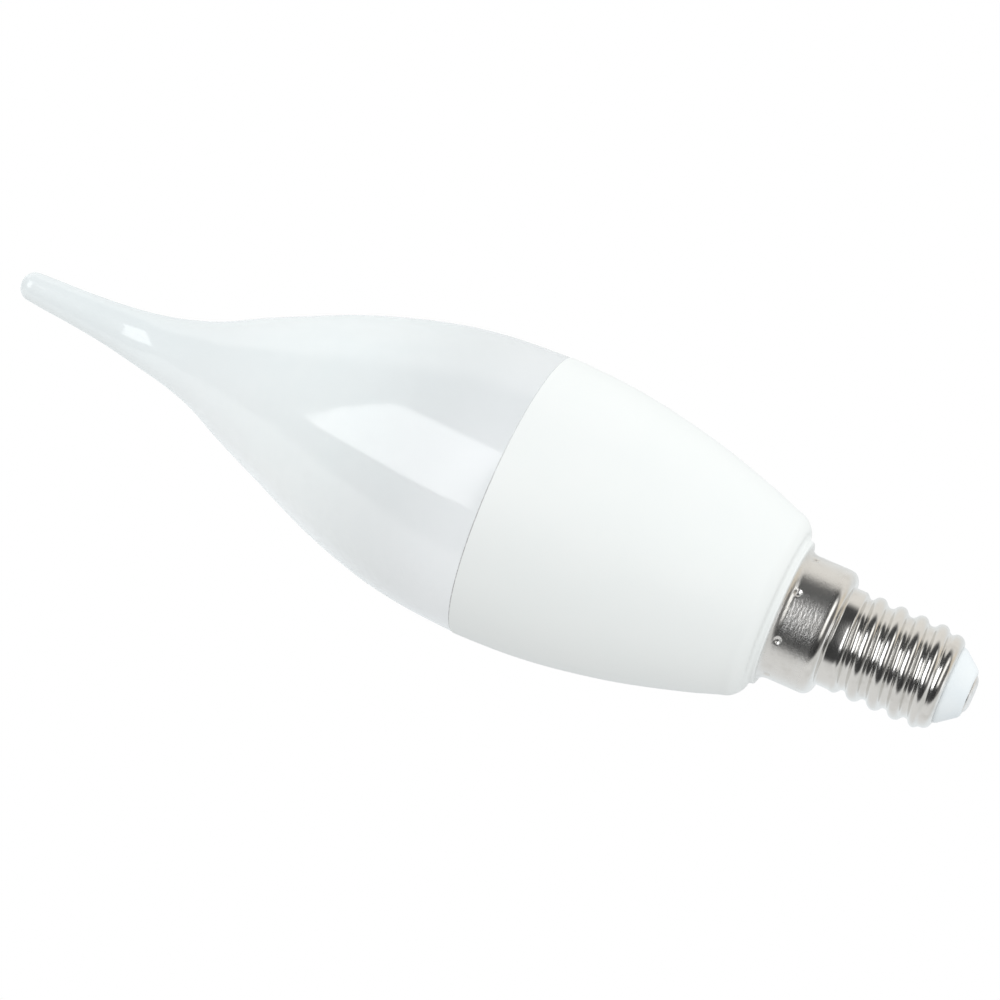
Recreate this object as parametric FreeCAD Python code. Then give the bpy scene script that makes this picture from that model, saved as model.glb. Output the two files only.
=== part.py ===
import FreeCAD, Part
import math
import os

os.makedirs("parts", exist_ok=True)

# Candle bulb with a bent tail and a small screw cap, upright on its centre contact, +Z towards the tip
# Millimetres, with the origin in the middle of the contact's end face

# Screw thread of the cap, right-handed, outside radii
PITCH = 2.822
CREST_R = 6.77
TROUGH_R = 5.97
SHEET = 0.25
CREST_Z = 6.72

# Rolled end of the screw shell
END_Z = 3.42
END_R = 5.15
END_ROUND = 1.15
END_WALL_H = 0.05

# Plain neck, shoulder, skirt and flared rim of the screw shell
NECK_R = 6.62
NECK_ROUND = 0.30
NECK_H = 1.13
SHOULDER_Z = 18.83
SKIRT_R = 8.42
SKIRT_ROUND = 1.37
FLARE_Z = 24.70
FLARE_ROUND = 1.35
FLARE_ANGLE = 55.0

# Crimp dimples round the skirt
DIMPLES = 8
DIMPLE_FIRST = -24.2
DIMPLE_Z = 24.58
DIMPLE_R = 0.56
DIMPLE_DEPTH = 0.24

# Centre contact, a disc with a domed face, riveted with a shank
CONTACT_R = 2.50
CONTACT_T = 0.62
CONTACT_FLAT_R = 0.95
CONTACT_DOME = 0.32
CONTACT_ROUND = 0.17
SHANK_R = 0.90
SHANK_L = 3.20

# Insulator cone between the contact and the screw shell, with a plug inside the shell
SEAT_DEPTH = 0.10
LIP_W = 0.32
TOE_W = 0.56
TOE_H = 0.33
CONE_INSET = 0.23
CONE_DROP = 0.62
PLUG_R = 5.68
PLUG_TOP_Z = 7.00

# Housing from the spigot inside the skirt to the seam
SPIGOT_LOW_Z = 20.60
SPIGOT_CHAMFER = 0.40
STEP_R = 9.78
STEP_H = 0.30
SHOULDER_R = 12.72
SHOULDER_H = 3.50
SHOULDER_SLOPE = 0.335
SEAM_Z = 63.85
SEAM_PROUD = 0.08
SEAM_EDGE = 0.10

# Diffuser with its register inside the housing and its bent tail
COVER_R = 19.20
TIP_Z = 135.48
TIP_BLUNT = 0.50
REGISTER_STEP = 1.60
REGISTER_L = 2.50

# Sliding clearance between pieces
FIT = 0.02

# Sampling of the freeform faces
AROUND = 48
STEPS_PER_TURN = 16
ROW = 1.6

# Housing shoulder: height and width as shares between neck step and shoulder
SHOULDER = [(0.0, 0.0), (0.120, 0.041), (0.197, 0.177), (0.256, 0.415), (0.444, 0.687), (0.631, 0.857), (1.0, 1.0)]

# Housing side: height and width as shares between shoulder and seam
SIDE = [(0.0, 0.0), (0.081, 0.154), (0.168, 0.298), (0.255, 0.433), (0.385, 0.613)]
SIDE += [(0.515, 0.755), (0.645, 0.872), (0.776, 0.951), (0.906, 0.988), (1.0, 1.0)]

# Diffuser outline: height and radius as shares of the height above the seam and of the seam radius
OUTLINE = [(0.0, 1.0), (0.018, 0.997), (0.059, 0.99), (0.102, 0.979), (0.143, 0.9605), (0.185, 0.934)]
OUTLINE += [(0.227, 0.897), (0.269, 0.854), (0.311, 0.8045), (0.352, 0.7505), (0.394, 0.69), (0.4365, 0.6205)]
OUTLINE += [(0.478, 0.555), (0.52, 0.487), (0.562, 0.416), (0.582, 0.377), (0.6035, 0.336), (0.6245, 0.302)]
OUTLINE += [(0.646, 0.2765), (0.667, 0.254), (0.688, 0.234), (0.729, 0.203), (0.7715, 0.175), (0.813, 0.151)]
OUTLINE += [(0.855, 0.135), (0.897, 0.122), (0.9385, 0.1135), (0.966, 0.106), (1.0, 0.0945)]

# Lean of the diffuser's middle line towards -Y and towards +X: height as in the outline, and degrees
LEAN_FORWARD = [(0.5885, 0.0), (0.6785, -8.8), (0.8105, 12.6), (0.833, 12.6), (0.922, 6.0), (1.0, 8.7)]
LEAN_SIDEWAYS = [(0.0, 0.0), (0.15, 0.4), (0.3, 0.3), (0.448, -1.5), (0.686, -1.5), (0.783, 1.7)]


def vec(x, y, z):
    return FreeCAD.Vector(x, y, z)


# Edges of a section, each point given as radius and height
def line(a, b):
    return Part.makeLine(vec(a[0], 0, a[1]), vec(b[0], 0, b[1]))


def path(points):
    return [line(a, b) for a, b in zip(points, points[1:])]


def bend(centre, radius, start, end):
    points = []
    for angle in (start, 0.5 * (start + end), end):
        a = math.radians(angle)
        points.append(vec(centre[0] + radius * math.cos(a), 0, centre[1] + radius * math.sin(a)))
    return Part.Arc(points[0], points[1], points[2]).toShape()


def curve(points, start, end):
    spline = Part.BSplineCurve()
    through = [vec(r, 0, z) for r, z in points]
    spline.interpolate(Points=through, InitialTangent=vec(start[0], 0, start[1]), FinalTangent=vec(end[0], 0, end[1]))
    return spline.toShape()


# A full turn is made of two halves, so that it joins the freeform faces edge to edge
def turned_faces(edges):
    faces = []
    for start in (0, 180):
        wire = Part.Wire(edges)
        wire.rotate(vec(0, 0, 0), vec(0, 0, 1), start)
        faces += wire.revolve(vec(0, 0, 0), vec(0, 0, 1), 180).Faces
    return faces


def turned_solid(edges):
    return Part.Face(Part.Wire(edges)).revolve(vec(0, 0, 0), vec(0, 0, 1), 360)


def closed_solid(faces):
    shell = Part.makeShell(faces)
    shell.sewShape()
    solid = Part.makeSolid(shell)
    if solid.Volume < 0:
        solid.reverse()
    return solid


def ease(x):
    x = min(1.0, max(0.0, x))
    return x * x * (3.0 - 2.0 * x)


# Heights of the control rings that make the surface's own height run evenly from low to high
def row_places(low, high, step):
    count = int(round((high - low) / step)) + 1
    even = [low + i * (high - low) / (count - 1) for i in range(count)]
    knots = [low] * 3 + even + [high] * 3
    return [sum(knots[i + 1 : i + 4]) / 3.0 for i in range(count + 2)]


# Control ring whose quintic surface passes through the wanted radius
TURN = 2.0 * math.pi / AROUND
SWELL = 120.0 / (66.0 + 52.0 * math.cos(TURN) + 2.0 * math.cos(2.0 * TURN))


def control_ring(middle, across, other, radius_at):
    ring = []
    for j in range(AROUND):
        angle = (j - 2) * TURN
        r = radius_at(angle) * SWELL
        ring.append(middle + across * (r * math.cos(angle)) + other * (r * math.sin(angle)))
    return ring


def ring_faces(rings):
    poles = [[ring[j] for ring in rings] for j in range(AROUND)]
    spans = len(rings) - 3
    along = [float(i) for i in range(spans + 1)]
    along_mults = [4] + [1] * (spans - 1) + [4]
    around = [i * TURN for i in range(AROUND + 1)]
    around_mults = [1] * (AROUND + 1)
    faces = []
    for start in (0.0, math.pi):
        surface = Part.BSplineSurface()
        surface.buildFromPolesMultsKnots(poles, around_mults, along_mults, around, along, True, False, 5, 3)
        surface.segment(start, start + math.pi, along[0], along[-1])
        faces.append(surface.toShape())
    return faces


# Screw shell: rolled thread
END_WALL_R = END_R + END_ROUND
MEAN_R = 0.5 * (CREST_R + TROUGH_R)
HALF_DEPTH = 0.5 * (CREST_R - TROUGH_R)
# Crest and trough are arcs of one radius that meet on the flank at the flank angle
FLANK = 2.0 * math.atan(4.0 * HALF_DEPTH / PITCH)
ROLL_R = 0.25 * PITCH / math.sin(FLANK)
RUN_IN = 0.32 * PITCH
RUN_OUT = 0.36 * PITCH
THREAD_LOW_Z = END_Z + END_ROUND + END_WALL_H
THREAD_HIGH_Z = SHOULDER_Z - NECK_ROUND - NECK_H


def thread_wave(turns):
    off = abs(turns - round(turns)) * PITCH
    near = min(off, 0.5 * PITCH - off)
    drop = ROLL_R - math.sqrt(ROLL_R * ROLL_R - near * near)
    return HALF_DEPTH - drop if off < 0.25 * PITCH else drop - HALF_DEPTH


def thread_radius(z, angle):
    wave = thread_wave((z - CREST_Z) / PITCH - angle / (2.0 * math.pi))
    fade = ease((z - THREAD_LOW_Z) / RUN_IN) * ease((THREAD_HIGH_Z - z) / RUN_OUT)
    base = END_WALL_R + (MEAN_R - END_WALL_R) * ease((z - THREAD_LOW_Z) / (0.5 * PITCH))
    base += (NECK_R - base) * ease((z - THREAD_HIGH_Z) / RUN_OUT + 1.0)
    return base + wave * fade


def thread_faces(inset):
    rings = []
    for z in row_places(THREAD_LOW_Z, THREAD_HIGH_Z, PITCH / STEPS_PER_TURN):
        rings.append(control_ring(vec(0, 0, z), vec(1, 0, 0), vec(0, 1, 0), lambda a: thread_radius(z, a) - inset))
    return ring_faces(rings)


# Screw shell: neck, shoulder, skirt and flared rim above the thread, rolled end below it
NECK_CENTRE = (NECK_R + NECK_ROUND, SHOULDER_Z - NECK_ROUND)
SKIRT_CENTRE = (SKIRT_R - SKIRT_ROUND, SHOULDER_Z + SKIRT_ROUND)
FLARE_CENTRE = (SKIRT_R + FLARE_ROUND, FLARE_Z)
FLARE_END = 180.0 - FLARE_ANGLE
END_CENTRE = (END_R, END_Z + END_ROUND)


def on_flare(radius):
    a = math.radians(FLARE_END)
    return (FLARE_CENTRE[0] + radius * math.cos(a), FLARE_CENTRE[1] + radius * math.sin(a))


RIM_OUT = on_flare(FLARE_ROUND)
RIM_IN = on_flare(FLARE_ROUND + SHEET)
upper = [
    line((NECK_R, THREAD_HIGH_Z), (NECK_R, NECK_CENTRE[1])),
    bend(NECK_CENTRE, NECK_ROUND, 180, 90),
    line((NECK_CENTRE[0], SHOULDER_Z), (SKIRT_CENTRE[0], SHOULDER_Z)),
    bend(SKIRT_CENTRE, SKIRT_ROUND, -90, 0),
    line((SKIRT_R, SKIRT_CENTRE[1]), (SKIRT_R, FLARE_Z)),
    bend(FLARE_CENTRE, FLARE_ROUND, 180, FLARE_END),
    line(RIM_OUT, RIM_IN),
    bend(FLARE_CENTRE, FLARE_ROUND + SHEET, FLARE_END, 180),
    line((SKIRT_R - SHEET, FLARE_Z), (SKIRT_R - SHEET, SKIRT_CENTRE[1])),
    bend(SKIRT_CENTRE, SKIRT_ROUND - SHEET, 0, -90),
    line((SKIRT_CENTRE[0], SHOULDER_Z + SHEET), (NECK_CENTRE[0], SHOULDER_Z + SHEET)),
    bend(NECK_CENTRE, NECK_ROUND + SHEET, 90, 180),
    line((NECK_R - SHEET, NECK_CENTRE[1]), (NECK_R - SHEET, THREAD_HIGH_Z)),
]
lower = [
    line((END_WALL_R - SHEET, THREAD_LOW_Z), (END_WALL_R - SHEET, END_CENTRE[1])),
    bend(END_CENTRE, END_ROUND - SHEET, 0, -90),
    line((END_R, END_Z + SHEET), (END_R, END_Z)),
    bend(END_CENTRE, END_ROUND, -90, 0),
    line((END_WALL_R, END_CENTRE[1]), (END_WALL_R, THREAD_LOW_Z)),
]
plain_shell = closed_solid(turned_faces(upper) + turned_faces(lower) + thread_faces(0.0) + thread_faces(SHEET))

# Crimp dimples: pits outside, and bumps of the same sheet inside that bite into the housing
PIT_R = (DIMPLE_R ** 2 + DIMPLE_DEPTH ** 2) / (2.0 * DIMPLE_DEPTH)
PIT_CENTRE_R = SKIRT_R - DIMPLE_DEPTH + PIT_R
BUMP_R = PIT_R + SHEET
inner_side = Part.makeCylinder(SKIRT_R - 0.5 * SHEET, 2.0 * BUMP_R, vec(0, 0, DIMPLE_Z - BUMP_R))
pits = []
bumps = []
bites = []
for k in range(DIMPLES):
    a = math.radians(DIMPLE_FIRST - k * 360.0 / DIMPLES)
    centre = vec(PIT_CENTRE_R * math.cos(a), PIT_CENTRE_R * math.sin(a), DIMPLE_Z)
    pits.append(Part.makeSphere(PIT_R, centre))
    bumps.append(Part.makeSphere(BUMP_R, centre).common(inner_side))
    bites.append(Part.makeSphere(BUMP_R + FIT, centre))
screw_shell = plain_shell.fuse(bumps).cut(pits)

# Centre contact
contact_edge = (CONTACT_R, CONTACT_DOME + CONTACT_ROUND)
contact_low = (CONTACT_R - CONTACT_ROUND, CONTACT_DOME)
contact = path([(0, CONTACT_T + SHANK_L), (0, 0), (CONTACT_FLAT_R, 0)])
contact.append(curve([(CONTACT_FLAT_R, 0), contact_low, contact_edge], (1, 0), (0, 1)))
contact += path([contact_edge, (CONTACT_R, CONTACT_T), (SHANK_R, CONTACT_T)])
contact += path([(SHANK_R, CONTACT_T), (SHANK_R, CONTACT_T + SHANK_L), (0, CONTACT_T + SHANK_L)])
centre_contact = turned_solid(contact)

# Insulator
HOLE_R = SHANK_R + FIT
SEAT_R = CONTACT_R + FIT
FACE_Z = CONTACT_T - SEAT_DEPTH
LIP_R = CONTACT_R + LIP_W
COLLAR_R = END_R - FIT
PLUG_Z = END_Z + SHEET + FIT
PLUG_TAPER = PLUG_R - COLLAR_R
CONE_LOW = (LIP_R + TOE_W, FACE_Z + TOE_H)
CONE_HIGH = (COLLAR_R - CONE_INSET, END_Z - CONE_DROP)
CONE_WAY = (CONE_HIGH[0] - CONE_LOW[0], CONE_HIGH[1] - CONE_LOW[1])
insulator = path([(HOLE_R, PLUG_TOP_Z), (HOLE_R, CONTACT_T), (SEAT_R, CONTACT_T), (SEAT_R, FACE_Z), (LIP_R, FACE_Z)])
insulator.append(curve([(LIP_R, FACE_Z), CONE_LOW], (1, 0.25), CONE_WAY))
insulator.append(line(CONE_LOW, CONE_HIGH))
insulator.append(curve([CONE_HIGH, (COLLAR_R, END_Z)], CONE_WAY, (0, 1)))
insulator += path([(COLLAR_R, END_Z), (COLLAR_R, PLUG_Z), (PLUG_R, PLUG_Z + PLUG_TAPER)])
insulator += path([(PLUG_R, PLUG_Z + PLUG_TAPER), (PLUG_R, PLUG_TOP_Z), (HOLE_R, PLUG_TOP_Z)])
cap_insulator = turned_solid(insulator)

# Housing: spigot, seat on the rim, neck step, rounded shoulder, side and recess for the diffuser
SPIGOT_R = SKIRT_R - SHEET - FIT
SPIGOT_EDGE_Z = SPIGOT_LOW_Z + SPIGOT_CHAMFER
FLARE_FIT = FLARE_ROUND + SHEET + FIT
SEAT_LOW = on_flare(FLARE_FIT)
SEAT_TOP = (RIM_IN[0] + 0.5 * FIT, RIM_IN[1] + 1.5 * FIT)
SEAT_OUT = (RIM_OUT[0] + 1.5 * FIT, RIM_OUT[1] + 0.5 * FIT)
STEP_Z = RIM_OUT[1] + STEP_H
SHOULDER_END_Z = RIM_OUT[1] + SHOULDER_H
SEAM_R = COVER_R + SEAM_PROUD
REGISTER_R = COVER_R - REGISTER_STEP
RECESS_R = REGISTER_R + FIT
RECESS_Z = SEAM_Z - REGISTER_L - FIT


def between(low, high, shares):
    return [(low[0] + (high[0] - low[0]) * w, low[1] + (high[1] - low[1]) * h) for h, w in shares]


shoulder = between((STEP_R, STEP_Z), (SHOULDER_R, SHOULDER_END_Z), SHOULDER)
side = between((SHOULDER_R, SHOULDER_END_Z), (SEAM_R, SEAM_Z - SEAM_EDGE), SIDE)
section = path([(0, RECESS_Z), (0, SPIGOT_LOW_Z), (SPIGOT_R - SPIGOT_CHAMFER, SPIGOT_LOW_Z)])
section += path([(SPIGOT_R - SPIGOT_CHAMFER, SPIGOT_LOW_Z), (SPIGOT_R, SPIGOT_EDGE_Z), (SPIGOT_R, FLARE_Z)])
section.append(bend(FLARE_CENTRE, FLARE_FIT, 180, FLARE_END))
section += path([SEAT_LOW, SEAT_TOP, SEAT_OUT])
section.append(curve([SEAT_OUT, (STEP_R, STEP_Z)], (1, 0.1), (0.05, 1)))
section.append(curve(shoulder, (0.05, 1), (SHOULDER_SLOPE, 1)))
section.append(curve(side, (SHOULDER_SLOPE, 1), (0, 1)))
section += path([(SEAM_R, SEAM_Z - SEAM_EDGE), (SEAM_R - SEAM_EDGE, SEAM_Z), (RECESS_R, SEAM_Z)])
section += path([(RECESS_R, SEAM_Z), (RECESS_R, RECESS_Z), (0, RECESS_Z)])
housing = turned_solid(section).cut(bites)

# Diffuser: radius at a height, lean of the middle line, and the swept face
LOW_Z = SEAM_Z + SEAM_EDGE


def value_at(points, share):
    for (s0, v0), (s1, v1) in zip(points, points[1:]):
        if share <= s1:
            return v0, v1, max(0.0, (share - s0) / (s1 - s0))
    return v1, v1, 0.0


def cover_radius(z):
    low, high, along = value_at(OUTLINE, (z - LOW_Z) / (TIP_Z - LOW_Z))
    return COVER_R * (low + (high - low) * along)


def slope_at(points, z):
    low, high, along = value_at(points, (z - LOW_Z) / (TIP_Z - LOW_Z))
    return math.tan(math.radians(low + (high - low) * ease(along)))


def lean(z):
    way = vec(slope_at(LEAN_SIDEWAYS, z), -slope_at(LEAN_FORWARD, z), 1.0)
    way.normalize()
    return way


PARTS = 8
rings = []
middle = vec(0, 0, LOW_Z)
last = LOW_Z
for z in row_places(LOW_Z, TIP_Z, ROW):
    for k in range(PARTS):
        middle = middle + lean(last + (z - last) * (k + 0.5) / PARTS) * ((z - last) / PARTS)
    last = z
    way = lean(z)
    across = vec(1, 0, 0) - way * way.x
    across.normalize()
    r = cover_radius(z)
    rings.append(control_ring(middle, across, way.cross(across), lambda a: r))
# The last two rings lie at the tip and close it with a rounded end
flat = control_ring(middle, across, way.cross(across), lambda a: TIP_BLUNT * cover_radius(TIP_Z))
rings[-2] = flat
rings[-1] = [middle] * AROUND
register = path([(0, SEAM_Z - REGISTER_L), (REGISTER_R, SEAM_Z - REGISTER_L), (REGISTER_R, SEAM_Z)])
register += path([(REGISTER_R, SEAM_Z), (COVER_R - SEAM_EDGE, SEAM_Z), (COVER_R, LOW_Z)])
diffuser = closed_solid(turned_faces(register) + ring_faces(rings))

# One file for each piece
pieces = {
    "diffuser": diffuser,
    "housing": housing,
    "screw_shell": screw_shell,
    "cap_insulator": cap_insulator,
    "centre_contact": centre_contact,
}
for name, shape in pieces.items():
    print(name, shape.ShapeType, shape.isValid(), len(shape.Solids), round(shape.Volume, 1))
    shape.exportStep("parts/" + name + ".step")
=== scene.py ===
import math

import bmesh
import bpy
from mathutils import Matrix, Vector


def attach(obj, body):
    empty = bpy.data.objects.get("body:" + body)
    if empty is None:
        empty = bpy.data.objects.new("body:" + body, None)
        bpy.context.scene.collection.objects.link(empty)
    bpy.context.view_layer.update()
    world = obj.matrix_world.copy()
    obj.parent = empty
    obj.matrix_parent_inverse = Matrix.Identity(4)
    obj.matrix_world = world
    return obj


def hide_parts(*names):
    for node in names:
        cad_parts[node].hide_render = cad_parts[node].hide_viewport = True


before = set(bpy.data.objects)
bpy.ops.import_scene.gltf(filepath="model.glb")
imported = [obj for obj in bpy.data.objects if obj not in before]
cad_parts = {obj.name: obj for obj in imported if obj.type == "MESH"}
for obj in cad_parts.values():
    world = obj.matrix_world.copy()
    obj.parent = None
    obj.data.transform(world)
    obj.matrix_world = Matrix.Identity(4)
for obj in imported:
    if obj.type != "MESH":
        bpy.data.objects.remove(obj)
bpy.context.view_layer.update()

# A candle bulb: opal diffuser with a bent tail, white housing, screw shell, insulator and centre contact
# Millimetres from the middle of the contact's end face, +Z towards the tip, until a piece is finished
MM = 0.001

# Screw thread, right-handed: outside radii, heights and the radius its crests are rolled to
PITCH = 2.822
CREST_R = 6.77
TROUGH_R = 5.97
CREST_Z = 6.72
THREAD_LOW_Z = 4.62
THREAD_HIGH_Z = 17.40
RUN_IN = 0.90
RUN_OUT = 1.02
CREST_ROLL = 0.96
THREAD_ROW = 0.052
SHELL_COLUMNS = 300

# Screw shell away from the thread
SHEET = 0.25
END_Z = 3.42
END_R = 5.15
END_ROUND = 1.15
NECK_R = 6.62
NECK_ROUND = 0.30
SHOULDER_Z = 18.83
SKIRT_R = 8.42
SKIRT_ROUND = 1.37
FLARE_Z = 24.70
FLARE_ROUND = 1.35
FLARE_ANGLE = 55.0
INNER_R = 5.72
SKIRT_ROWS = (23.3, 22.6, 21.6, 20.8)
BRUSHED_FROM_Z = 19.7
BRUSHED_FULL_Z = 20.7

# Crimp dimples round the skirt
DIMPLES = 8
DIMPLE_FIRST = -24.2
DIMPLE_Z = 24.58
DIMPLE_R = 0.56
DIMPLE_DEPTH = 0.22
DIMPLE_FLAT = 0.35
DIMPLE_ROW = 0.09

# Centre contact and insulator
CONTACT_R = 2.50
CONTACT_T = 0.62
CONTACT_FLAT_R = 0.95
CONTACT_DOME = 0.32
CONTACT_ROUND = 0.17
SHANK_R = 0.90
SHANK_L = 3.20
LIP_R = 2.82
LIP_Z = 0.52
CONE_LOW = (3.38, 0.85)
CONE_HIGH = (4.90, 2.80)
CONE_WAY = (0.78, 1.0)
CONE_COLUMNS = 128
CONTACT_COLUMNS = 96
PLUG_R = 5.66
PLUG_TOP_Z = 7.00
FIT = 0.02

# Housing
SPIGOT_LOW_Z = 20.60
SPIGOT_CHAMFER = 0.40
STEP_R = 9.78
STEP_H = 0.30
SHOULDER_R = 12.72
SHOULDER_H = 3.50
SEAM_Z = 63.85
SEAM_R = 19.28
SEAM_EDGE = 0.10
RECESS_R = 17.62
RECESS_Z = 61.33

# Directions of the housing's outline at its neck step and where shoulder and side meet
STEP_WAY = (0.05, 1)
SIDE_WAY = (0.335, 1)

# Diffuser
COVER_R = 19.20
TIP_Z = 135.48
TIP_ROUND = 1.75
REGISTER_R = 17.60
REGISTER_Z = 61.35
OUTLINE_STEP = 1.6
COVER_ROW = 0.45
BODY_COLUMNS = 160

# Outlines as shares of height and width, and the lean of the diffuser's middle line in degrees
SHOULDER = [(0.0, 0.0), (0.120, 0.041), (0.197, 0.177), (0.256, 0.415)]
SHOULDER += [(0.444, 0.687), (0.631, 0.857), (1.0, 1.0)]
SIDE = [(0.0, 0.0), (0.081, 0.154), (0.168, 0.298), (0.255, 0.433), (0.385, 0.613)]
SIDE += [(0.515, 0.755), (0.645, 0.872), (0.776, 0.951), (0.906, 0.988), (1.0, 1.0)]
COVER = [(0.0, 1.0), (0.018, 0.997), (0.059, 0.99), (0.102, 0.979), (0.143, 0.9605), (0.185, 0.934)]
COVER += [(0.227, 0.897), (0.269, 0.854), (0.311, 0.8045), (0.352, 0.7505), (0.394, 0.69), (0.4365, 0.6205)]
COVER += [(0.478, 0.555), (0.52, 0.487), (0.562, 0.416), (0.582, 0.377), (0.6035, 0.336), (0.6245, 0.302)]
COVER += [(0.646, 0.2765), (0.667, 0.254), (0.688, 0.234), (0.729, 0.203), (0.7715, 0.175), (0.813, 0.151)]
COVER += [(0.855, 0.135), (0.897, 0.122), (0.9385, 0.1135), (0.966, 0.106), (1.0, 0.0945)]
LEAN_FORWARD = [(0.5885, 0.0), (0.6785, -8.8), (0.8105, 12.6), (0.833, 12.6), (0.922, 6.0), (1.0, 8.7)]
LEAN_SIDEWAYS = [(0.0, 0.0), (0.15, 0.4), (0.3, 0.3), (0.448, -1.5), (0.686, -1.5), (0.783, 1.7)]

SEAM_LOW_Z = SEAM_Z + SEAM_EDGE
COVER_L = TIP_Z - SEAM_LOW_Z


# Shapes of curves
def ease(x):
    x = min(1.0, max(0.0, x))
    return x * x * (3.0 - 2.0 * x)


def value_at(points, share, bend=lambda x: x):
    for (s0, v0), (s1, v1) in zip(points, points[1:]):
        if share <= s1:
            return v0 + (v1 - v0) * bend(max(0.0, (share - s0) / (s1 - s0)))
    return points[-1][1]


def steps(low, high, step):
    count = max(1, math.ceil((high - low) / step))
    return [low + (high - low) * i / count for i in range(count + 1)]


def arc(centre, radius, start, end, count=8):
    angles = [math.radians(start + (end - start) * i / count) for i in range(count + 1)]
    return [(centre[0] + radius * math.cos(a), centre[1] + radius * math.sin(a)) for a in angles]


# A smooth line through points given as radius and height, leaving and arriving along the given directions
def smooth_line(points, start, end, step=0.6):
    spots = [Vector(p) for p in points]
    spans = [(b - a).length for a, b in zip(spots, spots[1:])]
    ways = [Vector(start).normalized()]
    for i in range(1, len(spots) - 1):
        before = (spots[i] - spots[i - 1]) / spans[i - 1]
        after = (spots[i + 1] - spots[i]) / spans[i]
        ways.append((before * spans[i] + after * spans[i - 1]) / (spans[i] + spans[i - 1]))
    ways.append(Vector(end).normalized())
    line = []
    for i, span in enumerate(spans):
        for t in steps(0.0, 1.0, step / span)[:-1]:
            near = (1 + 2 * t) * (1 - t) ** 2 * spots[i] + t * (1 - t) ** 2 * span * ways[i]
            line.append(near + t * t * (3 - 2 * t) * spots[i + 1] + t * t * (t - 1) * span * ways[i + 1])
    return [tuple(p) for p in line] + [tuple(spots[-1])]


def between(low, high, shares):
    return [(low[0] + (high[0] - low[0]) * w, low[1] + (high[1] - low[1]) * h) for h, w in shares]


# Forms
def turned(outline, columns, closed=False):
    form = bmesh.new()
    corners = [form.verts.new((r, 0.0, z)) for r, z in outline]
    for a, b in zip(corners, corners[1:]):
        form.edges.new((a, b))
    if closed:
        form.edges.new((corners[-1], corners[0]))
    bmesh.ops.spin(
        form,
        geom=form.verts[:] + form.edges[:],
        axis=(0, 0, 1),
        cent=(0, 0, 0),
        steps=columns,
        angle=math.tau,
        use_merge=True,
    )
    bmesh.ops.remove_doubles(form, verts=form.verts[:], dist=1e-4)
    bmesh.ops.recalc_face_normals(form, faces=form.faces[:])
    return form


def finished(form, name, node, material, crease=35.0):
    bmesh.ops.scale(form, vec=(MM, MM, MM), verts=form.verts[:])
    mesh = bpy.data.meshes.new(name)
    form.to_mesh(mesh)
    form.free()
    mesh.shade_smooth()
    mesh.set_sharp_from_angle(angle=math.radians(crease))
    mesh.materials.append(material)
    piece = bpy.data.objects.new(name, mesh)
    bpy.context.scene.collection.objects.link(piece)
    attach(piece, "root")
    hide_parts(node)
    return piece


# Diffuser: radius along its length, then its tail bent along the leaning middle line
def outline_radius(z):
    return COVER_R * value_at(COVER, (z - SEAM_LOW_Z) / COVER_L)


def cover_radius(z):
    place = (z - SEAM_LOW_Z) / OUTLINE_STEP
    row = math.floor(place)
    t = place - row
    shares = ((1 - t) ** 3, 3 * t ** 3 - 6 * t ** 2 + 4, -3 * t ** 3 + 3 * t ** 2 + 3 * t + 1, t ** 3)
    near = [outline_radius(SEAM_LOW_Z + (row + k) * OUTLINE_STEP) for k in (-1, 0, 1, 2)]
    return sum(s * r for s, r in zip(shares, near)) / 6.0


def lean(z):
    share = (z - SEAM_LOW_Z) / COVER_L
    side = math.tan(math.radians(value_at(LEAN_SIDEWAYS, share, ease)))
    forward = math.tan(math.radians(value_at(LEAN_FORWARD, share, ease)))
    return Vector((side, -forward, 1.0)).normalized()


def bend_tail(form):
    heights = steps(SEAM_LOW_Z, TIP_Z, 0.1)
    gap = heights[1] - heights[0]
    middles = [Vector((0.0, 0.0, SEAM_LOW_Z))]
    for z in heights[1:]:
        middles.append(middles[-1] + lean(z - 0.5 * gap) * gap)
    for corner in form.verts:
        if corner.co.z > SEAM_LOW_Z:
            place = min((corner.co.z - SEAM_LOW_Z) / gap, len(middles) - 1.001)
            row = int(place)
            middle = middles[row].lerp(middles[row + 1], place - row)
            way = lean(corner.co.z)
            across = (Vector((1, 0, 0)) - way * way.x).normalized()
            corner.co = middle + across * corner.co.x + way.cross(across) * corner.co.y


def opal_cover(material):
    outline = [(0.0, REGISTER_Z), (REGISTER_R, REGISTER_Z), (REGISTER_R, SEAM_Z)]
    outline += [(COVER_R - SEAM_EDGE, SEAM_Z)]
    top = TIP_Z - TIP_ROUND
    outline += [(cover_radius(z), z) for z in steps(SEAM_LOW_Z, top, COVER_ROW)]
    end_r = cover_radius(top)
    for a in steps(0.0, 90.0, 9.0)[1:]:
        outline.append((end_r * math.cos(math.radians(a)), top + TIP_ROUND * math.sin(math.radians(a))))
    form = turned(outline, BODY_COLUMNS)
    bend_tail(form)
    return finished(form, "opal_cover", "diffuser", material)


# Housing: spigot, seat on the rim, neck step, shoulder, side, seam edge and recess
FLARE_CENTRE = (SKIRT_R + FLARE_ROUND, FLARE_Z)
FLARE_END = 180.0 - FLARE_ANGLE


def on_flare(radius):
    return arc(FLARE_CENTRE, radius, FLARE_END, FLARE_END, 1)[0]


RIM_OUT = on_flare(FLARE_ROUND)
RIM_IN = on_flare(FLARE_ROUND + SHEET)


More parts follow.
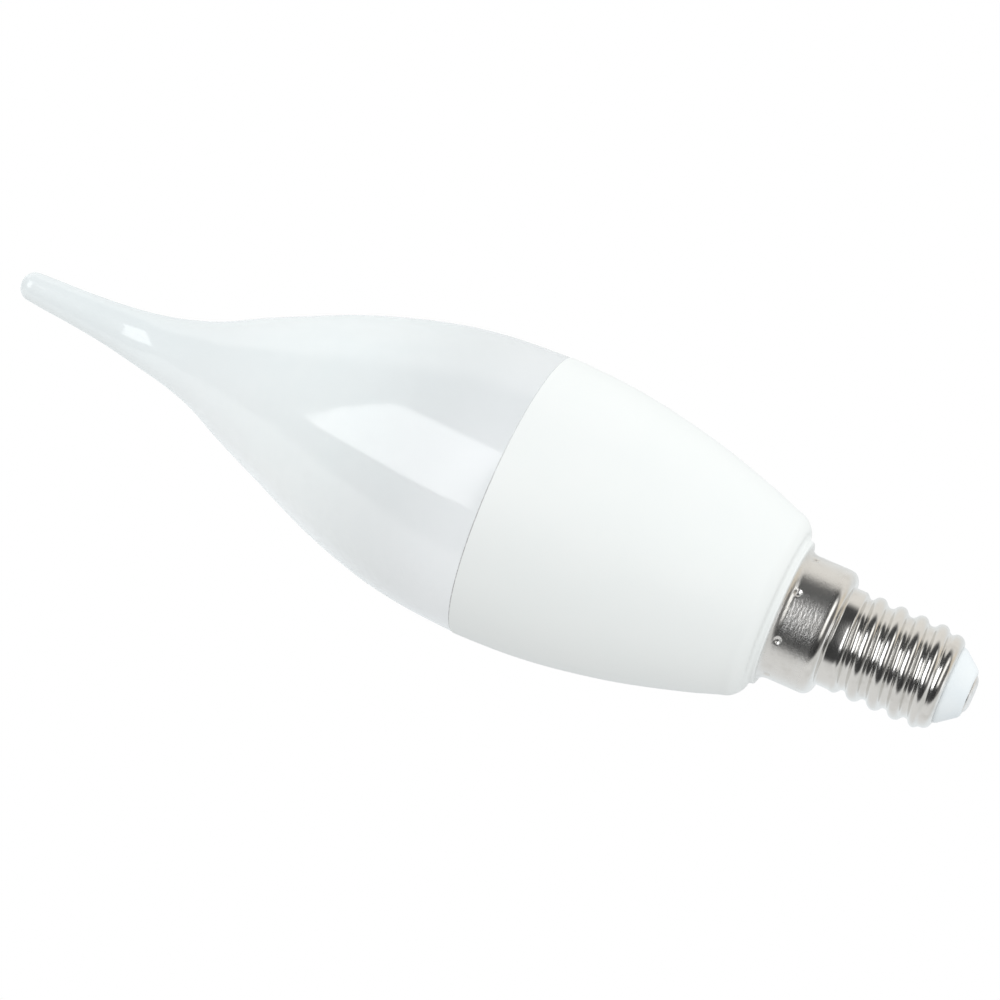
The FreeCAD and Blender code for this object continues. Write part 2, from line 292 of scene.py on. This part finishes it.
def housing_body(material):
    step = (STEP_R, RIM_OUT[1] + STEP_H)
    broad = (SHOULDER_R, RIM_OUT[1] + SHOULDER_H)
    spigot_r = SKIRT_R - SHEET - FIT
    outline = [(0.0, SPIGOT_LOW_Z), (spigot_r - SPIGOT_CHAMFER, SPIGOT_LOW_Z)]
    outline += [(spigot_r, SPIGOT_LOW_Z + SPIGOT_CHAMFER)]
    outline += arc(FLARE_CENTRE, FLARE_ROUND + SHEET + FIT, 180.0, FLARE_END)
    outline += [(RIM_IN[0] + 0.5 * FIT, RIM_IN[1] + 1.5 * FIT)]
    seat = (RIM_OUT[0] + 1.5 * FIT, RIM_OUT[1] + 0.5 * FIT)
    outline += smooth_line([seat, step], (1, 0.1), STEP_WAY, 0.08)
    outline += smooth_line(between(step, broad, SHOULDER), STEP_WAY, SIDE_WAY, 0.1)[1:]
    rim = (SEAM_R, SEAM_Z - SEAM_EDGE)
    outline += smooth_line(between(broad, rim, SIDE), SIDE_WAY, (0, 1), 0.5)[1:]
    outline += [(SEAM_R - SEAM_EDGE, SEAM_Z), (RECESS_R, SEAM_Z), (RECESS_R, RECESS_Z), (0.0, RECESS_Z)]
    form = turned(outline, BODY_COLUMNS)
    return finished(form, "housing_body", "housing", material)


# Screw shell: a turned sheet whose outside is then pushed into thread and dimples
END_WALL_R = END_R + END_ROUND
MEAN_R = 0.5 * (CREST_R + TROUGH_R)
HALF_DEPTH = 0.5 * (CREST_R - TROUGH_R)
FLANK = 2.0 * math.atan(4.0 * HALF_DEPTH / PITCH)
TROUGH_ROLL = 0.5 * PITCH / math.sin(FLANK) - CREST_ROLL


def thread_wave(turns):
    off = abs(turns - round(turns)) * PITCH
    if off < CREST_ROLL * math.sin(FLANK):
        return HALF_DEPTH - CREST_ROLL + math.sqrt(CREST_ROLL ** 2 - off ** 2)
    off = 0.5 * PITCH - off
    return TROUGH_ROLL - HALF_DEPTH - math.sqrt(TROUGH_ROLL ** 2 - off ** 2)


def thread_radius(z, angle):
    wave = thread_wave((z - CREST_Z) / PITCH - angle / math.tau)
    fade = ease((z - THREAD_LOW_Z) / RUN_IN) * ease((THREAD_HIGH_Z - z) / RUN_OUT)
    base = END_WALL_R + (MEAN_R - END_WALL_R) * ease((z - THREAD_LOW_Z) / (0.5 * PITCH))
    base += (NECK_R - base) * ease((z - THREAD_HIGH_Z) / RUN_OUT + 1.0)
    return base + wave * fade


def dimple_depth(corner):
    for k in range(DIMPLES):
        a = math.radians(DIMPLE_FIRST - k * 360.0 / DIMPLES)
        spot = Vector((SKIRT_R * math.cos(a), SKIRT_R * math.sin(a), DIMPLE_Z))
        share = (corner - spot).length / DIMPLE_R
        if share < 1.0:
            return DIMPLE_DEPTH * (1.0 - ease((share - DIMPLE_FLAT) / (1.0 - DIMPLE_FLAT)))
    return 0.0


def cap_shell(material):
    neck = (NECK_R + NECK_ROUND, SHOULDER_Z - NECK_ROUND)
    skirt = (SKIRT_R - SKIRT_ROUND, SHOULDER_Z + SKIRT_ROUND)
    end = (END_R, END_Z + END_ROUND)
    middle = 0.5 * (RIM_OUT[0] + RIM_IN[0]), 0.5 * (RIM_OUT[1] + RIM_IN[1])
    outside = arc(middle, 0.5 * SHEET, FLARE_END, FLARE_END - 180.0, 6)[1:]
    outside += arc(FLARE_CENTRE, FLARE_ROUND, FLARE_END, 180.0, 10)[1:]
    outside += [(SKIRT_R, z) for z in reversed(steps(DIMPLE_Z - 0.6, FLARE_Z - 0.08, DIMPLE_ROW))]
    outside += [(SKIRT_R, z) for z in SKIRT_ROWS]
    outside += arc(skirt, SKIRT_ROUND, 0.0, -90.0, 12)
    outside += arc(neck, NECK_ROUND, 90.0, 180.0, 6)
    outside += [(NECK_R, z) for z in reversed(steps(THREAD_LOW_Z, THREAD_HIGH_Z, THREAD_ROW))]
    outside += arc(end, END_ROUND, 0.0, -90.0, 8)
    inside = arc(end, END_ROUND - SHEET, -90.0, 0.0, 4)
    inside += [(INNER_R, THREAD_LOW_Z + 0.4), (INNER_R, THREAD_HIGH_Z)]
    inside += arc(neck, NECK_ROUND + SHEET, 180.0, 90.0, 4)
    inside += arc(skirt, SKIRT_ROUND - SHEET, -90.0, 0.0, 6)
    inside += arc(FLARE_CENTRE, FLARE_ROUND + SHEET, 180.0, FLARE_END, 6)
    form = turned(outside + inside, SHELL_COLUMNS, closed=True)
    for corner in form.verts:
        x, y, z = corner.co
        r = math.hypot(x, y)
        if THREAD_LOW_Z - 1e-6 <= z <= THREAD_HIGH_Z + 1e-6 and r > NECK_R - 1e-3:
            scale = thread_radius(z, math.atan2(y, x)) / r
            corner.co.x, corner.co.y = x * scale, y * scale
        elif abs(z - DIMPLE_Z) < DIMPLE_R and r > SKIRT_R - 1e-3:
            scale = (r - dimple_depth(corner.co)) / r
            corner.co.x, corner.co.y = x * scale, y * scale
    return finished(form, "cap_shell", "screw_shell", material, 50.0)


# Insulator cone and centre contact
def insulator_cone(material):
    collar_r = END_R - FIT
    hole_r = SHANK_R + FIT
    outline = [(hole_r, PLUG_TOP_Z), (hole_r, CONTACT_T)]
    outline += [(CONTACT_R + FIT, CONTACT_T), (CONTACT_R + FIT, LIP_Z)]
    outline += smooth_line([(LIP_R, LIP_Z), CONE_LOW], (1, 0.25), CONE_WAY, 0.1)
    outline += smooth_line([CONE_LOW, CONE_HIGH], CONE_WAY, CONE_WAY, 0.3)[1:]
    outline += smooth_line([CONE_HIGH, (collar_r, END_Z)], CONE_WAY, (0, 1), 0.1)[1:]
    outline += [(collar_r, END_Z + SHEET + FIT), (PLUG_R, END_Z + SHEET + FIT + PLUG_R - collar_r)]
    outline += [(PLUG_R, PLUG_TOP_Z)]
    form = turned(outline, CONE_COLUMNS, closed=True)
    return finished(form, "insulator_cone", "cap_insulator", material)


def contact_disc(material):
    low = (CONTACT_R - CONTACT_ROUND, CONTACT_DOME)
    edge = (CONTACT_R, CONTACT_DOME + CONTACT_ROUND)
    outline = [(0.0, 0.0)] + smooth_line([(CONTACT_FLAT_R, 0.0), low, edge], (1, 0), (0, 1), 0.08)
    outline += [(CONTACT_R, CONTACT_T), (SHANK_R, CONTACT_T), (SHANK_R, CONTACT_T + SHANK_L)]
    outline += [(0.0, CONTACT_T + SHANK_L)]
    form = turned(outline, CONTACT_COLUMNS)
    return finished(form, "contact_disc", "centre_contact", material)


# Shader sockets with arithmetic
class Wire:
    def __init__(self, tree, socket=None):
        self.tree = tree
        self.socket = socket

    def node(self, kind, settings=(), sockets=(), out=0):
        made = self.tree.nodes.new(kind)
        for name, value in dict(settings).items():
            setattr(made, name, value)
        for key, value in dict(sockets).items():
            if isinstance(value, Wire):
                self.tree.links.new(value.socket, made.inputs[key])
            else:
                made.inputs[key].default_value = value
        return Wire(self.tree, made.outputs[out] if made.outputs else None)

    def math(self, operation, *values):
        return self.node("ShaderNodeMath", {"operation": operation}, enumerate(values))

    def __add__(self, other):
        return self.math("ADD", self, other)

    def __radd__(self, other):
        return self.math("ADD", other, self)

    def __sub__(self, other):
        return self.math("SUBTRACT", self, other)

    def __rsub__(self, other):
        return self.math("SUBTRACT", other, self)

    def __mul__(self, other):
        return self.math("MULTIPLY", self, other)

    def __rmul__(self, other):
        return self.math("MULTIPLY", other, self)

    def rise(self, low, high):
        sockets = {"Value": self, "From Min": low, "From Max": high}
        return self.node("ShaderNodeMapRange", {"interpolation_type": "SMOOTHSTEP"}, sockets)

    def within(self, low, full, still, high):
        return self.rise(low, full) * (1.0 - self.rise(still, high))

    def blend(self, a, b):
        return self.node("ShaderNodeMix", {"data_type": "RGBA"}, {0: self, 6: a, 7: b}, 2)

    def dot(self, vector):
        return self.node("ShaderNodeVectorMath", {"operation": "DOT_PRODUCT"}, {0: self, 1: vector}, "Value")

    def stretched(self, scale):
        return self.node("ShaderNodeVectorMath", {"operation": "MULTIPLY"}, {0: self, 1: scale})

    def noise(self, scale, detail=2.0, roughness=0.5):
        sockets = {"Vector": self, "Scale": scale, "Detail": detail, "Roughness": roughness}
        return self.node("ShaderNodeTexNoise", {}, sockets)

    def bump(self, strength, distance):
        return self.node("ShaderNodeBump", {}, {"Strength": strength, "Distance": distance, "Height": self})


def new_material(name):
    material = bpy.data.materials.new(name)
    material.use_nodes = True
    material.node_tree.nodes.clear()
    start = Wire(material.node_tree)
    place = start.node("ShaderNodeTexCoord", out="Object")
    return material, start, place


def surface(start, sockets, other=None, share=0.0):
    shader = start.node("ShaderNodeBsdfPrincipled", {}, sockets)
    if other:
        second = start.node("ShaderNodeBsdfPrincipled", {}, dict(sockets, **other))
        shader = start.node("ShaderNodeMixShader", {}, {0: share, 1: shader, 2: second})
    start.node("ShaderNodeOutputMaterial", {}, {"Surface": shader})


def part_of(place, axis):
    return place.node("ShaderNodeSeparateXYZ", {}, {0: place}, axis)


def specks(place, size, share, radius):
    sockets = {"Vector": place, "Scale": 1.0 / (size * MM), "Randomness": 1.0}
    distance = place.node("ShaderNodeTexVoronoi", {}, sockets, "Distance")
    colour = place.node("ShaderNodeTexVoronoi", {}, sockets, "Color")
    chosen = part_of(colour, 0).math("GREATER_THAN", part_of(colour, 0), 1.0 - share)
    return chosen * (1.0 - distance.rise(0.6 * radius / size, radius / size))


# Hairline where diffuser and housing meet: a dark joint, with painted shade that makes it darker towards -X,
# the side away from the light
SEAM_LINE_CORE = 0.03
SEAM_LINE_HALF = 0.12


def seam_line_and_shade(place):
    off = part_of(place, 2) - SEAM_Z * MM
    line = 1.0 - off.math("ABSOLUTE", off).rise(SEAM_LINE_CORE * MM, SEAM_LINE_HALF * MM)
    ragged = place.noise(1400.0, 3.0, 0.6).rise(0.25, 0.55)
    # Painted shade: the hairline is drawn stronger on the -X side, where less light falls
    painted_shade_side = 1.0 - part_of(place, 0).rise(-6.0 * MM, 8.0 * MM)
    return line * ragged * (0.05 + 0.40 * painted_shade_side)


# Diffuser: heights above the seam, and half widths across X over which painted shade makes its colour darker
# on the +X side and lighter on the -X side
NEAR_SEAM_H = 25.0
TAIL_LOW_H = 26.0
TAIL_HIGH_H = 54.0
COVER_SHADE_HALF = 14.0
TAIL_SHADE_HALF = 5.0


# Two plastics in one: light goes deep into the first, and the second, at seam and tail, has a denser skin;
# both carry painted shade, darker on the brightly lit +X side and lighter on the -X side, against the
# light's slope
def opal_finish():
    material, start, place = new_material("opal_plastic")
    aside, height = part_of(place, 0), part_of(place, 2)
    near_seam = 1.0 - height.rise(SEAM_Z * MM, (SEAM_Z + NEAR_SEAM_H) * MM)
    tail = height.rise((SEAM_Z + TAIL_LOW_H) * MM, (SEAM_Z + TAIL_HIGH_H) * MM)
    # Painted shade across X: masks that take the base colours from lighter at -X to darker at +X
    cover_side_shade = aside.rise(-COVER_SHADE_HALF * MM, COVER_SHADE_HALF * MM)
    tail_side_shade = aside.rise(-TAIL_SHADE_HALF * MM, TAIL_SHADE_HALF * MM)
    cloud = 0.08 * place.noise(90.0, 3.0).rise(0.35, 0.65)
    dust = specks(place, 9.0, 0.05, 0.16)
    # Painted shade: each colour pair is the -X (lighter) and +X (darker) colour of the same plastic
    deep_body = cover_side_shade.blend((0.70, 0.82, 0.84, 1), (0.58, 0.69, 0.715, 1))
    deep_tail = cover_side_shade.blend((0.68, 0.875, 0.915, 1), (0.52, 0.71, 0.75, 1))
    deep = cloud.blend(tail.blend(deep_body, deep_tail), (1, 1, 1, 1))
    deep = dust.blend(deep, (0.45, 0.48, 0.48, 1))
    skin_body = cover_side_shade.blend((0.96, 0.98, 0.995, 1), (0.80, 0.825, 0.84, 1))
    skin_tail = tail_side_shade.blend((0.93, 0.985, 1.0, 1), (0.70, 0.75, 0.765, 1))
    skin = cloud.blend(tail.blend(skin_body, skin_tail), (0.88, 0.90, 0.91, 1))
    skin = dust.blend(skin, (0.6, 0.62, 0.62, 1))
    # Dark seam hairline, with painted shade towards -X
    skin = seam_line_and_shade(place).blend(skin, (0.16, 0.15, 0.14, 1))
    smear = place.noise(260.0, 4.0, 0.6).rise(0.4, 0.75)
    relief = (place.noise(120.0, 2.0) + 0.3 * place.noise(900.0, 2.0)).bump(0.03, 0.0004)
    surface(start, {
        "Base Color": deep,
        "Roughness": 0.07 + 0.05 * smear,
        "IOR": 1.585,
        "Subsurface Weight": 0.95,
        "Subsurface Radius": (1.0, 1.0, 1.0),
        "Subsurface Scale": 0.2,
        "Normal": relief,
    }, {"Base Color": skin, "Subsurface Weight": 0.15}, near_seam + 0.85 * tail)
    return material


def housing_finish():
    material, start, place = new_material("satin_white_plastic")
    cloud = place.noise(60.0, 4.0, 0.6).rise(0.3, 0.7)
    plain = cloud.blend((0.83, 0.85, 0.84, 1), (0.845, 0.86, 0.85, 1))
    dust = specks(place, 5.5, 0.22, 0.14)
    colour = dust.blend(plain, (0.36, 0.37, 0.36, 1))
    # Dark seam hairline, with painted shade towards -X
    colour = seam_line_and_shade(place).blend(colour, (0.16, 0.15, 0.14, 1))
    grain = place.noise(5200.0, 2.0, 0.6)
    surface(start, {
        "Base Color": colour,
        "Roughness": 0.40 + 0.08 * place.noise(800.0, 3.0),
        "IOR": 1.46,
        "Normal": grain.bump(0.12, 0.00006),
    })
    return material


def nickel_finish():
    material, start, place = new_material("bright_nickel")
    skirt = part_of(place, 2).rise(BRUSHED_FROM_Z * MM, BRUSHED_FULL_Z * MM)
    lines = place.stretched((0.28, 0.28, 1.0)).noise(4000.0, 2.0, 0.6)
    grain = place.noise(5200.0, 2.0, 0.65)
    stain = place.noise(420.0, 4.0, 0.6).rise(0.45, 0.75)
    colour = stain.blend((0.80, 0.795, 0.78, 1), (0.72, 0.71, 0.69, 1))
    relief = ((lines + 0.5 * grain) * (0.06 + 0.5 * skirt)).bump(0.6, 0.00008)
    surface(start, {
        "Base Color": colour,
        "Metallic": 1.0,
        "Roughness": 0.15 + 0.07 * grain + 0.04 * stain + 0.10 * skirt,
        "Normal": relief,
    })
    return material


def insulator_finish():
    material, start, place = new_material("white_insulator")
    cloud = place.noise(350.0, 3.0).rise(0.35, 0.7)
    dust = specks(place, 2.4, 0.10, 0.10)
    plain = cloud.blend((0.80, 0.845, 0.87, 1), (0.83, 0.865, 0.88, 1))
    surface(start, {
        "Base Color": dust.blend(plain, (0.45, 0.46, 0.46, 1)),
        "Roughness": 0.30 + 0.1 * place.noise(1500.0),
        "IOR": 1.48,
        "Normal": place.noise(2600.0, 2.0).bump(0.08, 0.00005),
    })
    return material


def contact_finish():
    material, start, place = new_material("contact_nickel")
    grain = place.noise(6000.0, 3.0, 0.6)
    worn = place.noise(900.0, 3.0).rise(0.45, 0.7)
    surface(start, {
        "Base Color": worn.blend((0.87, 0.865, 0.86, 1), (0.76, 0.75, 0.74, 1)),
        "Metallic": 1.0,
        "Roughness": 0.20 + 0.15 * grain,
        "Normal": grain.bump(0.2, 0.00005),
    })
    return material


def floor_finish():
    material, start, place = new_material("pale_floor")
    cloud = place.noise(6.0, 3.0).rise(0.3, 0.7)
    colour = cloud.blend((0.93, 0.93, 0.93, 1), (0.95, 0.95, 0.95, 1))
    surface(start, {"Base Color": colour, "Roughness": 0.6})
    return material


# Pieces on their bodies
opal = opal_cover(opal_finish())
housing = housing_body(housing_finish())
shell = cap_shell(nickel_finish())
insulator = insulator_cone(insulator_finish())
contact = contact_disc(contact_finish())

# Floor under the bulb, seen by the camera only
FLOOR_Z = -120.0
FLOOR_HALF = 500.0
floor_form = bmesh.new()
bmesh.ops.create_grid(floor_form, x_segments=8, y_segments=8, size=FLOOR_HALF * MM)
bmesh.ops.translate(floor_form, vec=(0, 0, FLOOR_Z * MM), verts=floor_form.verts[:])
floor_mesh = bpy.data.meshes.new("floor")
floor_form.to_mesh(floor_mesh)
floor_form.free()
floor_mesh.materials.append(floor_finish())
floor = bpy.data.objects.new("floor", floor_mesh)
bpy.context.scene.collection.objects.link(floor)
floor.visible_glossy = False
floor.visible_diffuse = False


# Studio round the bulb, by direction from it: azimuth from -Y towards +X, and elevation, in degrees
SOFTBOX = [(-20.5, 54.5), (36.0, 38.0), (26.0, 12.0), (-23.0, 15.0)]
SOFTBOX_LIGHT = 2.8
SOFTBOX_EDGE = 0.03

# Diffuse light: its level, its change along X, Y and Z, and what is added behind the bulb
LEVEL = 0.98
LEVEL_X = 0.30
LEVEL_Y = -0.255
LEVEL_Z = -0.20
BEHIND = 0.27
BEHIND_X = 0.40


def direction(azimuth, elevation):
    a, e = math.radians(azimuth), math.radians(elevation)
    return Vector((math.sin(a) * math.cos(e), -math.cos(a) * math.cos(e), math.sin(e)))


def softbox(way):
    lit = None
    for a, b in zip(SOFTBOX, SOFTBOX[1:] + SOFTBOX[:1]):
        inward = direction(*b).cross(direction(*a)).normalized()
        side = way.dot(inward).rise(-SOFTBOX_EDGE / 2, SOFTBOX_EDGE)
        lit = side if lit is None else lit * side
    return lit


# What gloss and metal mirror: a pale tent, dark in front and overhead, with a grey streak and a bright shelf
def mirrored_room(way):
    x, y, z = (part_of(way, k) for k in range(3))
    azimuth = x.math("ARCTAN2", x, 0.0 - y) * (180.0 / math.pi)
    elevation = z.math("ARCSINE", z) * (180.0 / math.pi)
    reach = azimuth * (1.0 + 0.002 * elevation.math("ABSOLUTE", elevation))
    front = reach.within(-68.0, -56.0, 72.0, 92.0)
    overhead = elevation.rise(58.0, 66.0)
    low = 1.0 - elevation.rise(-52.0, -38.0)
    under = 1.0 - elevation.rise(-84.0, -74.0)
    streak = azimuth.within(-24.0, 2.0, 24.0, 46.0) * elevation.within(-2.0, 10.0, 14.0, 22.0)
    shelf = azimuth.within(-20.0, -6.0, 50.0, 76.0) * elevation.within(-44.0, -34.0, -20.0, -12.0)
    behind = azimuth.math("ABSOLUTE", azimuth).rise(110.0, 160.0)
    right = azimuth.rise(0.0, 30.0)
    sides = right.blend((0.79, 0.785, 0.77, 1), (0.86, 0.83, 0.78, 1))
    back = x.rise(-0.4, 0.4).blend((0.90, 0.94, 0.96, 1), (0.86, 0.88, 0.88, 1))
    ground = right.blend((0.72, 0.72, 0.70, 1), (0.80, 0.72, 0.60, 1))
    tent = behind.blend(low.blend(sides, ground), back)
    dark = streak.blend((0.03, 0.03, 0.03, 1), (0.31, 0.305, 0.30, 1))
    dark = shelf.blend(low.blend(dark, (0.16, 0.155, 0.15, 1)), (1.5, 1.48, 1.43, 1))
    room = (1.0 - (1.0 - front) * (1.0 - overhead)).blend(tent, dark)
    room = under.blend(room, (1.25, 1.25, 1.25, 1))
    return softbox(way).blend(room, (SOFTBOX_LIGHT, SOFTBOX_LIGHT, SOFTBOX_LIGHT, 1))


# What lights the matt colours: a gentle slope from bright to less bright
def soft_light(way):
    x, y, z = (part_of(way, k) for k in range(3))
    level = LEVEL + LEVEL_X * x + LEVEL_Y * y + LEVEL_Z * z
    level = level + y.rise(0.0, 0.9) * (BEHIND + BEHIND_X * x)
    return level.node("ShaderNodeCombineColor", {}, {0: level, 1: level * 1.015, 2: level * 1.017})


# The camera sees plain white
def studio():
    world = bpy.data.worlds.new("studio")
    bpy.context.scene.world = world
    world.use_nodes = True
    world.node_tree.nodes.clear()
    start = Wire(world.node_tree)
    way = start.node("ShaderNodeTexCoord", out="Generated")
    glossy = start.node("ShaderNodeLightPath", out="Is Glossy Ray")
    seen = start.node("ShaderNodeLightPath", out="Is Camera Ray")
    colour = seen.blend(glossy.blend(soft_light(way), mirrored_room(way)), (1, 1, 1, 1))
    sky = start.node("ShaderNodeBackground", {}, {"Color": colour, "Strength": 1.0})
    start.node("ShaderNodeOutputWorld", {}, {"Surface": sky})


studio()

# Camera: it stands in front of the bulb, looks up along it and is rolled
CAMERA_DISTANCE = 463.2
LOOK_UP = 10.2
ROLL = 23.57
TARGET = (-1.229, 0.0, 65.28)
LENS = 129.6


def photo_camera():
    rise, roll = math.radians(LOOK_UP), math.radians(ROLL)
    ahead = Vector((0, math.cos(rise), math.sin(rise)))
    along = Vector((0, math.sin(rise), -math.cos(rise)))
    aside = Vector((-1, 0, 0))
    right = along * math.cos(roll) - aside * math.sin(roll)
    up = -(along * math.sin(roll) + aside * math.cos(roll))
    data = bpy.data.cameras.new("photo_camera")
    data.lens = LENS
    data.sensor_width = 36.0
    camera = bpy.data.objects.new("photo_camera", data)
    bpy.context.scene.collection.objects.link(camera)
    place = (Vector(TARGET) - ahead * CAMERA_DISTANCE) * MM
    camera.matrix_world = Matrix.Translation(place) @ Matrix((right, up, -ahead)).transposed().to_4x4()
    bpy.context.scene.camera = camera


photo_camera()
bpy.context.scene.view_settings.view_transform = "Standard"
